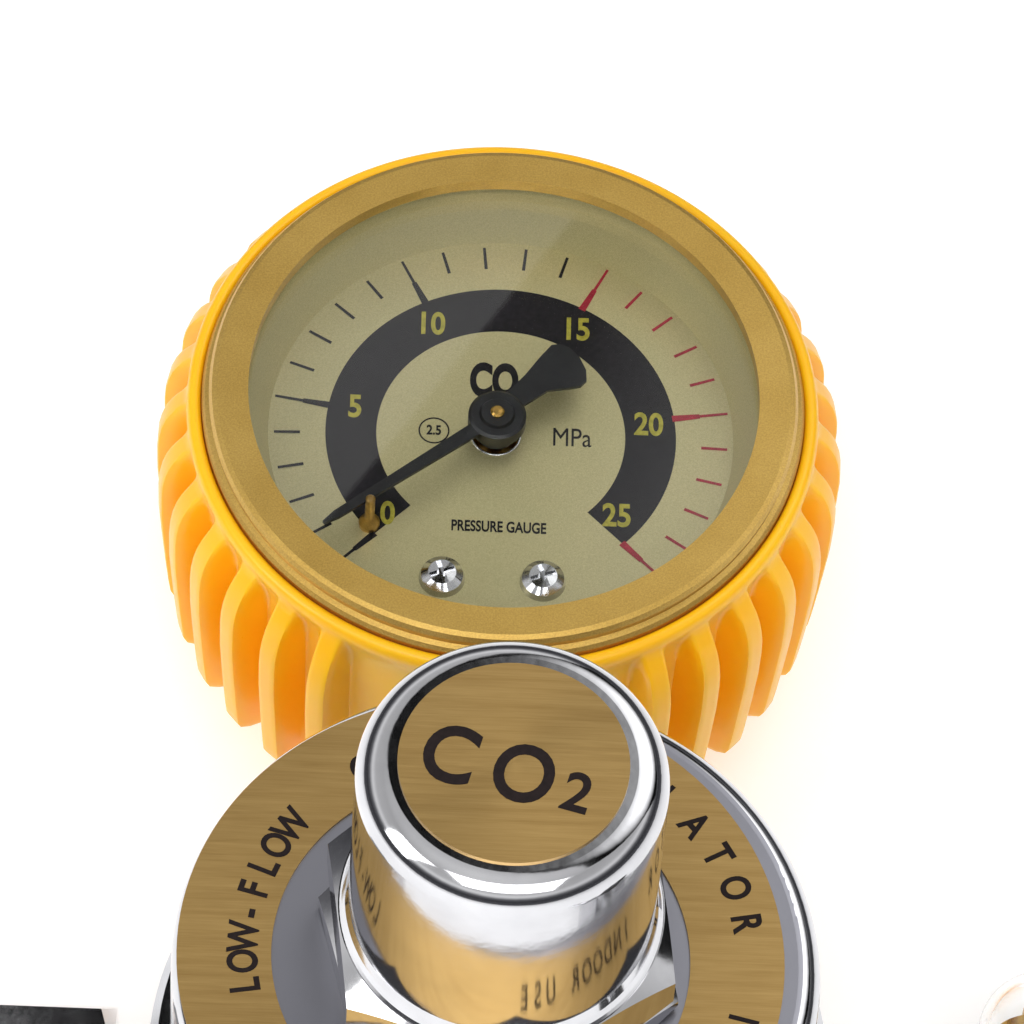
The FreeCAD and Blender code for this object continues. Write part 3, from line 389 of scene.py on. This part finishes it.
class Sheet:
    """Collects thin printed shapes into one mesh."""

    def __init__(self, z, thickness=PRINT_T):
        self.z = z
        self.top = z + thickness
        self.verts = []
        self.faces = []

    def outline(self, points):
        """Add a closed outline as a thin raised plate."""
        start = len(self.verts)
        count = len(points)
        self.verts += [Vector((p.x, p.y, self.top)) for p in points]
        self.verts += [Vector((p.x, p.y, self.z)) for p in points]
        self.faces.append(tuple(start + k for k in range(count)))
        self.faces.append(tuple(start + count + k for k in reversed(range(count))))
        for k in range(count):
            n = (k + 1) % count
            self.faces.append((start + k, start + count + k, start + count + n, start + n))

    def arc_band(self, centre, inner, outer, first, last, steps):
        """Add a ring segment as a strip of four-cornered plates that share their walls."""
        start = len(self.verts)
        for k in range(steps + 1):
            angle = first + (last - first) * k / steps
            for radius in (inner, outer):
                for z in (self.top, self.z):
                    self.verts.append(polar(centre, radius, angle, z))
        for k in range(steps):
            a = start + 4 * k
            b = a + 4
            self.faces += [(a, a + 2, b + 2, b), (a + 1, b + 1, b + 3, a + 3),
                           (a, b, b + 1, a + 1), (a + 2, a + 3, b + 3, b + 2)]
        end = start + 4 * steps
        self.faces += [(start, start + 1, start + 3, start + 2), (end, end + 2, end + 3, end + 1)]

    def bar(self, centre, inner, outer, degrees, width_in, width_out):
        """Add a radial bar whose width may change."""
        along = Vector((math.cos(math.radians(degrees)), math.sin(math.radians(degrees)), 0))
        across = Vector((-along.y, along.x, 0))
        near = centre + along * inner
        far = centre + along * outer
        points = [near - across * width_in / 2, far - across * width_out / 2,
                  far + across * width_out / 2, near + across * width_in / 2]
        self.outline(points)

    def piece(self, name, material, body):
        made = mesh_piece(name, self.verts, self.faces, material, body)
        work = bmesh.new()
        work.from_mesh(made.data)
        bmesh.ops.recalc_face_normals(work, faces=work.faces)
        work.to_mesh(made.data)
        work.free()
        return made


def text_piece(name, text, size, place, turn, material, body, width=1.0, weight=0.0):
    """Raised lettering: place is the middle of the text and turn its rotation about Z."""
    curve = bpy.data.curves.new(name + "_curve", "FONT")
    curve.body = text
    curve.size = 1.0
    curve.align_x = "CENTER"
    curve.align_y = "CENTER"
    curve.extrude = PRINT_T / 2 / size
    curve.offset = weight / size
    curve.resolution_u = 6
    holder = bpy.data.objects.new(name + "_holder", curve)
    bpy.context.scene.collection.objects.link(holder)
    bpy.context.view_layer.update()
    mesh = bpy.data.meshes.new_from_object(holder.evaluated_get(bpy.context.evaluated_depsgraph_get()))
    bpy.data.objects.remove(holder)
    mesh.transform(Matrix.Translation(place) @ Matrix.Rotation(turn, 4, "Z")
                   @ Matrix.Diagonal((width * size, size, size, 1)))
    mesh.name = name
    mesh.materials.clear()
    mesh.materials.append(material)
    piece = bpy.data.objects.new(name, mesh)
    bpy.context.scene.collection.objects.link(piece)
    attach(piece, body)
    return piece


def join_pieces(name, pieces):
    """Join several pieces into the first and rename it."""
    bpy.ops.object.select_all(action="DESELECT")
    for piece in pieces:
        piece.select_set(True)
    bpy.context.view_layer.objects.active = pieces[0]
    bpy.ops.object.join()
    pieces[0].name = name
    return pieces[0]


# ---------------------------------------------------------------- boot

# Section of the boot in mm, as (radius, height) between the ribs and on a rib
LIP = [(30.02, 36), (30.02, 39.3), (30.12, 39.85), (30.4, 40.15), (30.8, 40.2), (31.2, 40.0), (31.45, 39.55),
       (31.5, 39.0)]
FLANK = [(31.35, 38.4, 31.5, 38.75), (31.1, 37.7, 31.65, 38.3), (30.85, 36.9, 32.0, 37.75),
         (30.65, 36, 32.55, 37),
         (30.5, 35, 33.1, 36.1), (30.42, 33.9, 33.6, 35), (30.38, 32.5, 34, 33.6), (30.35, 31, 34.25, 32),
         (30.3, 29, 34.35, 30), (30.2, 25.5, 34.3, 26), (30.05, 21.5, 34, 21.5), (29.9, 17.5, 33.7, 17.5),
         (29.8, 14, 33.4, 14), (29.7, 12.4, 33.2, 12.2), (29.6, 11.4, 32.8, 11.2), (29.4, 10.7, 32, 10.5),
         (29, 10, 30.6, 10.05), (28.3, 9.55, 29, 9.6)]
INSIDE = [(27, 9.4), (14, 9.4), (14, 11.98), (26.5, 11.98), (28.52, 14), (28.52, 35), (30.02, 35)]
RIB_FIRST = -61.0
RIB_PITCH = 10.0
RIB_COUNT = 31
RIB_HALF = 1.42
RIB_ROUND = 0.5
RIB_STEPS = [-5, -4.2, -3.6, -3.1, -2.8, -2.6, -2.4, -2.2, -2, -1.7, -1.3, -0.7,
             0, 0.7, 1.3, 1.7, 2, 2.2, 2.4, 2.6, 2.8, 3.1, 3.6, 4.2]
BARE_STEPS = 24          # columns in the smooth part without ribs
SHARP_DEG = 50
SLOT_HALF = 7.5 * MM
SLOT_TOP = 27.5 * MM


def rib_blend(off, radius):
    """1 on a rib and 0 between ribs, at an angle off the rib's middle and a radius in mm."""
    away = abs(math.radians(off)) * radius
    step = min(1.0, max(0.0, (away - RIB_HALF + RIB_ROUND) / (2 * RIB_ROUND)))
    return 1 - step * step * (3 - 2 * step)


def boot_shell(materials):
    columns = []
    for k in range(RIB_COUNT):
        columns += [(RIB_FIRST + RIB_PITCH * k + off, off) for off in RIB_STEPS]
    bare = RIB_FIRST + RIB_PITCH * (RIB_COUNT - 0.5)
    gap = RIB_FIRST - RIB_PITCH / 2 + 360 - bare
    columns += [(bare + gap * k / BARE_STEPS, None) for k in range(BARE_STEPS)]
    rows = [(r, z, r, z) for r, z in LIP] + FLANK + [(r, z, r, z) for r, z in INSIDE]
    verts = []
    for degrees, off in columns:
        for r0, z0, r1, z1 in rows:
            weight = 0.0 if off is None else rib_blend(off, r1)
            radius = (r0 + (r1 - r0) * weight) * MM
            verts.append(polar(GAUGE, radius, degrees, (z0 + (z1 - z0) * weight) * MM))
    count = len(rows)
    faces = []
    for c in range(len(columns)):
        n = (c + 1) % len(columns)
        for k in range(count):
            m = (k + 1) % count
            faces.append((c * count + k, c * count + m, n * count + m, n * count + k))
    shell = mesh_piece("boot_shell", verts, faces, materials["boot"], "regulator")
    cutter_mesh = bpy.data.meshes.new("slot_cutter")
    work = bmesh.new()
    bmesh.ops.create_cube(work, size=1)
    work.to_mesh(cutter_mesh)
    work.free()
    cutter = bpy.data.objects.new("slot_cutter", cutter_mesh)
    cutter_mesh.transform(Matrix.Translation((GAUGE.x, GAUGE.y - 27 * MM, SLOT_TOP / 2))
                          @ Matrix.Diagonal((2 * SLOT_HALF, 20 * MM, SLOT_TOP, 1)))
    bpy.context.scene.collection.objects.link(cutter)
    flip_outward(shell.data)
    modifier = shell.modifiers.new("slot", "BOOLEAN")
    modifier.operation = "DIFFERENCE"
    modifier.solver = "EXACT"
    modifier.object = cutter
    bpy.context.view_layer.update()
    cut_mesh = bpy.data.meshes.new_from_object(shell.evaluated_get(bpy.context.evaluated_depsgraph_get()))
    shell.modifiers.clear()
    shell.data = cut_mesh
    bpy.data.objects.remove(cutter)
    cut_mesh.shade_smooth()
    cut_mesh.set_sharp_from_angle(angle=math.radians(SHARP_DEG))
    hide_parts("gauge_boot")


def flip_outward(mesh):
    work = bmesh.new()
    work.from_mesh(mesh)
    bmesh.ops.recalc_face_normals(work, faces=work.faces)
    work.to_mesh(mesh)
    work.free()


def torus(name, centre, major, minor, material, body, around=128, section=12):
    """Ring with a round section, lying flat."""
    verts = []
    faces = []
    for k in range(around):
        for m in range(section):
            angle = 2 * math.pi * m / section
            verts.append(polar(centre, major + minor * math.cos(angle), 360 * k / around,
                               centre.z + minor * math.sin(angle)))
    for k in range(around):
        n = (k + 1) % around
        for m in range(section):
            o = (m + 1) % section
            faces.append((k * section + m, n * section + m, n * section + o, k * section + o))
    made = mesh_piece(name, verts, faces, material, body, smooth=True)
    flip_outward(made.data)
    return made


# ---------------------------------------------------------------- springs

# CAD node, joint, axis, anchor in mm, share of the length kept at the joint's limit
SPRINGS = [("main_spring", "button_travel", (0, 0, 1), (0, 0, 51), 0.76),
           ("valve_spring", "valve_lift", (0, 0, 1), (0, 0, 9.5), 0.85),
           ("relief_spring", "relief_lift", (0, 1, 0), (0, -45.6, 19), 0.849)]


def soft_springs():
    """Copies of the springs, in place of the rigid ones."""
    for node, joint, axis, anchor, keep in SPRINGS:
        coil = bpy.data.objects.new(node + "_coil", NODES[node].data.copy())
        coil.matrix_world = NODES[node].matrix_world.copy()
        bpy.context.scene.collection.objects.link(coil)
        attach(coil, "regulator")
        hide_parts(node)
        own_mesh(coil)


# Section of the diaphragm in mm, as (radius, height); the first and the last are on its axis
DIAPHRAGM = [(0, 52), (17.4, 52), (18.4, 50.8), (19.4, 52), (26.3, 52), (26.3, 53), (19.2, 53), (18.4, 52),
             (17.6, 53), (0, 53)]
WEDGES = 12
WEDGE_STEPS = 6


def soft_diaphragm(materials):
    """Diaphragm in wedges, in place of the CAD one."""
    span = 360 / WEDGES
    count = len(DIAPHRAGM)
    for k in range(WEDGES):
        verts = [polar(AXIS, r * MM, span * (k + m / WEDGE_STEPS), z * MM)
                 for m in range(WEDGE_STEPS + 1) for r, z in DIAPHRAGM]
        faces = [(m * count + i, (m + 1) * count + i, (m + 1) * count + i + 1, m * count + i + 1)
                 for m in range(WEDGE_STEPS) for i in range(count - 1)]
        end = WEDGE_STEPS * count
        faces += [tuple(range(count)), tuple(end + i for i in reversed(range(count)))]
        mesh = bpy.data.meshes.new("diaphragm_wedge_%02d" % k)
        work = bmesh.new()
        made = [work.verts.new(v) for v in verts]
        for face in faces:
            work.faces.new([made[i] for i in face])
        bmesh.ops.remove_doubles(work, verts=work.verts, dist=0.001 * MM)
        bmesh.ops.dissolve_degenerate(work, edges=work.edges, dist=0.001 * MM)
        bmesh.ops.recalc_face_normals(work, faces=work.faces)
        work.to_mesh(mesh)
        work.free()
        mesh.materials.append(materials["black_rubber"])
        wedge = bpy.data.objects.new(mesh.name, mesh)
        bpy.context.scene.collection.objects.link(wedge)
        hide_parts("diaphragm")
        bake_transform(wedge)


# ---------------------------------------------------------------- printing

# Name, text, size, x, y, share of the width, extra weight; sizes and places in mm
DIAL_WORDS = [("gas_name", "CO", 5.3, -0.8, 6.3, 0.60, 0.26), ("gas_index", "2", 2.9, 2.6, 5.1, 0.7, 0.14),
              ("unit_name", "MPa", 3.1, 7.1, -0.1, 0.76, 0.0),
              ("class_number", "2.5", 1.55, -6.7, 0.2, 0.8, 0.045),
              ("face_line", "PRESSURE GAUGE", 1.75, 0, -11.0, 0.68, 0.045)]
CAP_WORDS = [("cap_c", "C", 8.2, -5.75, 0.3, 0.88, 0.16), ("cap_o", "O", 8.2, 0.83, -1.46, 0.86, 0.16),
             ("cap_index", "2", 5.6, 5.62, -3.09, 0.95, 0.1)]
CAP_TURN_DEG = -15


def scale_deg(value):
    return ZERO_DEG - SWEEP_DEG * value / FULL_SCALE


def on_dial(x, y, z):
    return Vector((GAUGE.x + x * MM, GAUGE.y + y * MM, z))


def dial_print(materials):
    z = DIAL_Z
    black_ink = materials["black_print"]
    band = Sheet(z)
    band.arc_band(GAUGE, BAND_IN, BAND_OUT, scale_deg(0), scale_deg(FULL_SCALE), 90)
    band.piece("dial_band", black_ink, "regulator")
    black = Sheet(z + PRINT_T)
    red = Sheet(z + PRINT_T)
    for value in range(FULL_SCALE + 1):
        sheet = red if value >= RED_FROM else black
        degrees = scale_deg(value)
        if value % 5 == 0:
            sheet.bar(GAUGE, BAND_OUT - 0.2 * MM, BAND_OUT + 2.6 * MM, degrees, 0.75 * MM, 0.5 * MM)
            sheet.bar(GAUGE, BAND_OUT + 2.5 * MM, TICK_OUT, degrees, 0.3 * MM, 0.26 * MM)
        else:
            sheet.bar(GAUGE, 20.1 * MM, 22.7 * MM, degrees, 0.32 * MM, 0.28 * MM)
    black.piece("dial_ticks_black", black_ink, "regulator")
    red.piece("dial_ticks_red", materials["red_print"], "regulator")
    numerals = []
    for value, degrees in NUMERAL_DEG.items():
        place = polar(GAUGE, NUMERAL_R, degrees, z + 1.5 * PRINT_T)
        numerals.append(text_piece("numeral_%d" % value, str(value), 3.7 * MM, place, 0,
                                   materials["numeral_print"], "regulator", 0.80, 0.09 * MM))
    join_pieces("dial_numerals", numerals)
    top = z + PRINT_T / 2
    words = [text_piece(name, text, size * MM, on_dial(x, y, top), 0, black_ink, "regulator",
                        width, weight * MM)
             for name, text, size, x, y, width, weight in DIAL_WORDS]
    join_pieces("dial_words", words)
    circle = Sheet(z)
    circle.arc_band(on_dial(-6.7, 0.2, 0), 1.4 * MM, 1.56 * MM, 0, 360, 40)
    circle.piece("class_circle", black_ink, "regulator")
    torus("dial_hole_rim", Vector((POINTER_AXIS.x, POINTER_AXIS.y, z + 0.02 * MM)), 2.45 * MM, 0.16 * MM,
          materials["steel"], "regulator", 48, 8)


def ring_words(name, text, first, step, size, material):
    """Letters along the ring label, each upright on the circle."""
    letters = []
    for k, letter in enumerate(text):
        if letter == " ":
            continue
        degrees = first - step * k
        place = polar(AXIS, WORDS_R, degrees, LABEL_TOP + PRINT_T / 2)
        turn = math.radians(degrees - 90)
        letters.append(text_piece("%s_%d" % (name, k), letter, size, place, turn, material, "regulator",
                                  0.80, 0.10 * MM))
    return join_pieces(name, letters)


def label_print(materials):
    ink = materials["brown_print"]
    ring_words("ring_words_left", "LOW-FLOW", 190, 6.3, 3.9 * MM, ink)
    ring_words("ring_words_top", "GAS REGULATOR", 123.6, 9.36, 3.9 * MM, ink)
    ring_words("ring_words_right", "INDOOR USE", 346, 7.0, 3.9 * MM, ink)
    top = CAP_LABEL_TOP + PRINT_T / 2
    turn = math.radians(CAP_TURN_DEG)
    join_pieces("cap_words", [
        text_piece(name, text, size * MM, Vector((x * MM, y * MM, top)), turn, ink, "cap", width, weight * MM)
        for name, text, size, x, y, width, weight in CAP_WORDS])


# ---------------------------------------------------------------- stage

ELEVATION = math.radians(57.19)
AZIMUTH = math.radians(-2.80)
ROLL = math.radians(4.65)
FOCAL_PX = 8000.0
FRAME_PX = 1024.0
AIM = Vector((0, 40, 45)) * MM
AIM_OFFSET = Vector((-1.34, -16.58)) * MM      # where the aim point lies in the camera's plane
DISTANCE = 772.09 * MM
PANEL_HALF = 0.20
FLOOR_HALF = 3.0


def add_camera():
    forward = Vector((-math.sin(AZIMUTH) * math.cos(ELEVATION), math.cos(AZIMUTH) * math.cos(ELEVATION),
                      -math.sin(ELEVATION)))
    flat_right = Vector((math.cos(AZIMUTH), math.sin(AZIMUTH), 0))
    flat_up = flat_right.cross(forward)
    right = math.cos(ROLL) * flat_right + math.sin(ROLL) * flat_up
    up = -math.sin(ROLL) * flat_right + math.cos(ROLL) * flat_up
    camera = bpy.data.objects.new("camera", bpy.data.cameras.new("camera"))
    camera.data.lens = 36.0 * FOCAL_PX / FRAME_PX
    camera.data.clip_start = 0.05
    camera.data.clip_end = 20
    place = AIM - forward * DISTANCE - right * AIM_OFFSET.x - up * AIM_OFFSET.y
    turn = Matrix((right, up, -forward)).transposed().to_4x4()
    camera.matrix_world = Matrix.Translation(place) @ turn
    bpy.context.scene.collection.objects.link(camera)
    bpy.context.scene.camera = camera


def add_light(name, place, target, size, power, colour=(1, 1, 1)):
    data = bpy.data.lights.new(name, "AREA")
    data.shape = "RECTANGLE"
    data.size, data.size_y = size
    data.energy = power
    data.color = colour
    light = bpy.data.objects.new(name, data)
    light.location = place
    light.rotation_mode = "QUATERNION"
    light.rotation_quaternion = (Vector(target) - Vector(place)).to_track_quat("-Z", "Y")
    bpy.context.scene.collection.objects.link(light)


def add_world():
    """Soft white studio with a darker band low down, which gives the plating its contrast."""
    world = bpy.data.worlds.new("studio")
    bpy.context.scene.world = world
    world.use_nodes = True
    tree = world.node_tree
    where = tree.nodes.new("ShaderNodeTexCoord")
    apart = tree.nodes.new("ShaderNodeSeparateXYZ")
    tree.links.new(where.outputs["Generated"], apart.inputs[0])
    grey = ramp(tree, apart.outputs["Z"], [(0.0, (0.10, 0.10, 0.11)), (0.20, (0.05, 0.05, 0.055)),
                                           (0.34, (0.16, 0.16, 0.17)), (0.50, (0.95, 0.95, 0.95)),
                                           (0.64, (0.62, 0.62, 0.62)), (0.84, (0.55, 0.55, 0.55)),
                                           (1.0, (0.85, 0.85, 0.85))])
    tree.links.new(grey, tree.nodes["Background"].inputs["Color"])
    tree.nodes["Background"].inputs["Strength"].default_value = 1.0


def square(name, half):
    mesh = bpy.data.meshes.new(name)
    corners = [(-half, -half, 0), (half, -half, 0), (half, half, 0), (-half, half, 0)]
    mesh.from_pydata(corners, [], [(0, 1, 2, 3)])
    made = bpy.data.objects.new(name, mesh)
    bpy.context.scene.collection.objects.link(made)
    return made


def add_panel():
    """Soft panel up to the right, brightest in the middle, that lights the flat labels."""
    panel = square("soft_panel", PANEL_HALF)
    panel.location = (0.175, 0.20, 0.35)
    panel.rotation_mode = "QUATERNION"
    panel.rotation_quaternion = (Vector((0, 0.04, 0.04)) - panel.location).to_track_quat("-Z", "Y")
    panel.visible_camera = False
    panel.visible_shadow = False
    material, tree, shader = new_material("soft_panel")
    ball = tree.nodes.new("ShaderNodeTexGradient")
    ball.gradient_type = "SPHERICAL"
    tree.links.new(coordinates(tree, (5.2, 5.2, 5.2)), ball.inputs["Vector"])
    tree.links.new(ramp(tree, ball.outputs["Fac"], [(0.0, (0, 0, 0)), (0.55, (1, 1, 1))]),
                   shader.inputs["Emission Color"])
    set_inputs(shader, Emission_Strength=2.1, Specular_IOR_Level=0.0)
    shader.inputs["Base Color"].default_value = (0, 0, 0, 1)
    panel.data.materials.append(material)


def add_stage():
    floor = square("floor", FLOOR_HALF)
    material, tree, shader = new_material("floor_white")
    whites = [(0, (0.90, 0.90, 0.90)), (1, (0.93, 0.93, 0.93))]
    tree.links.new(ramp(tree, noise(tree, coordinates(tree), 3, 2), whites), shader.inputs["Base Color"])
    shader.inputs["Roughness"].default_value = 0.8
    shader.inputs["Emission Color"].default_value = (1, 1, 1, 1)
    shader.inputs["Emission Strength"].default_value = 0.3
    floor.data.materials.append(material)
    add_world()
    add_panel()
    add_light("side", (-0.55, -0.15, 0.5), (0, 0.04, 0.04), (0.25, 0.5), 1.6)
    add_light("over", (0.0, -0.5, 0.9), (0, 0.04, 0.03), (0.8, 0.5), 5.6)


materials = make_materials()
dress_nodes(materials)
boot_shell(materials)
soft_springs()
soft_diaphragm(materials)
dial_print(materials)
label_print(materials)
add_camera()
add_stage()
bpy.context.scene.view_settings.view_transform = "Standard"
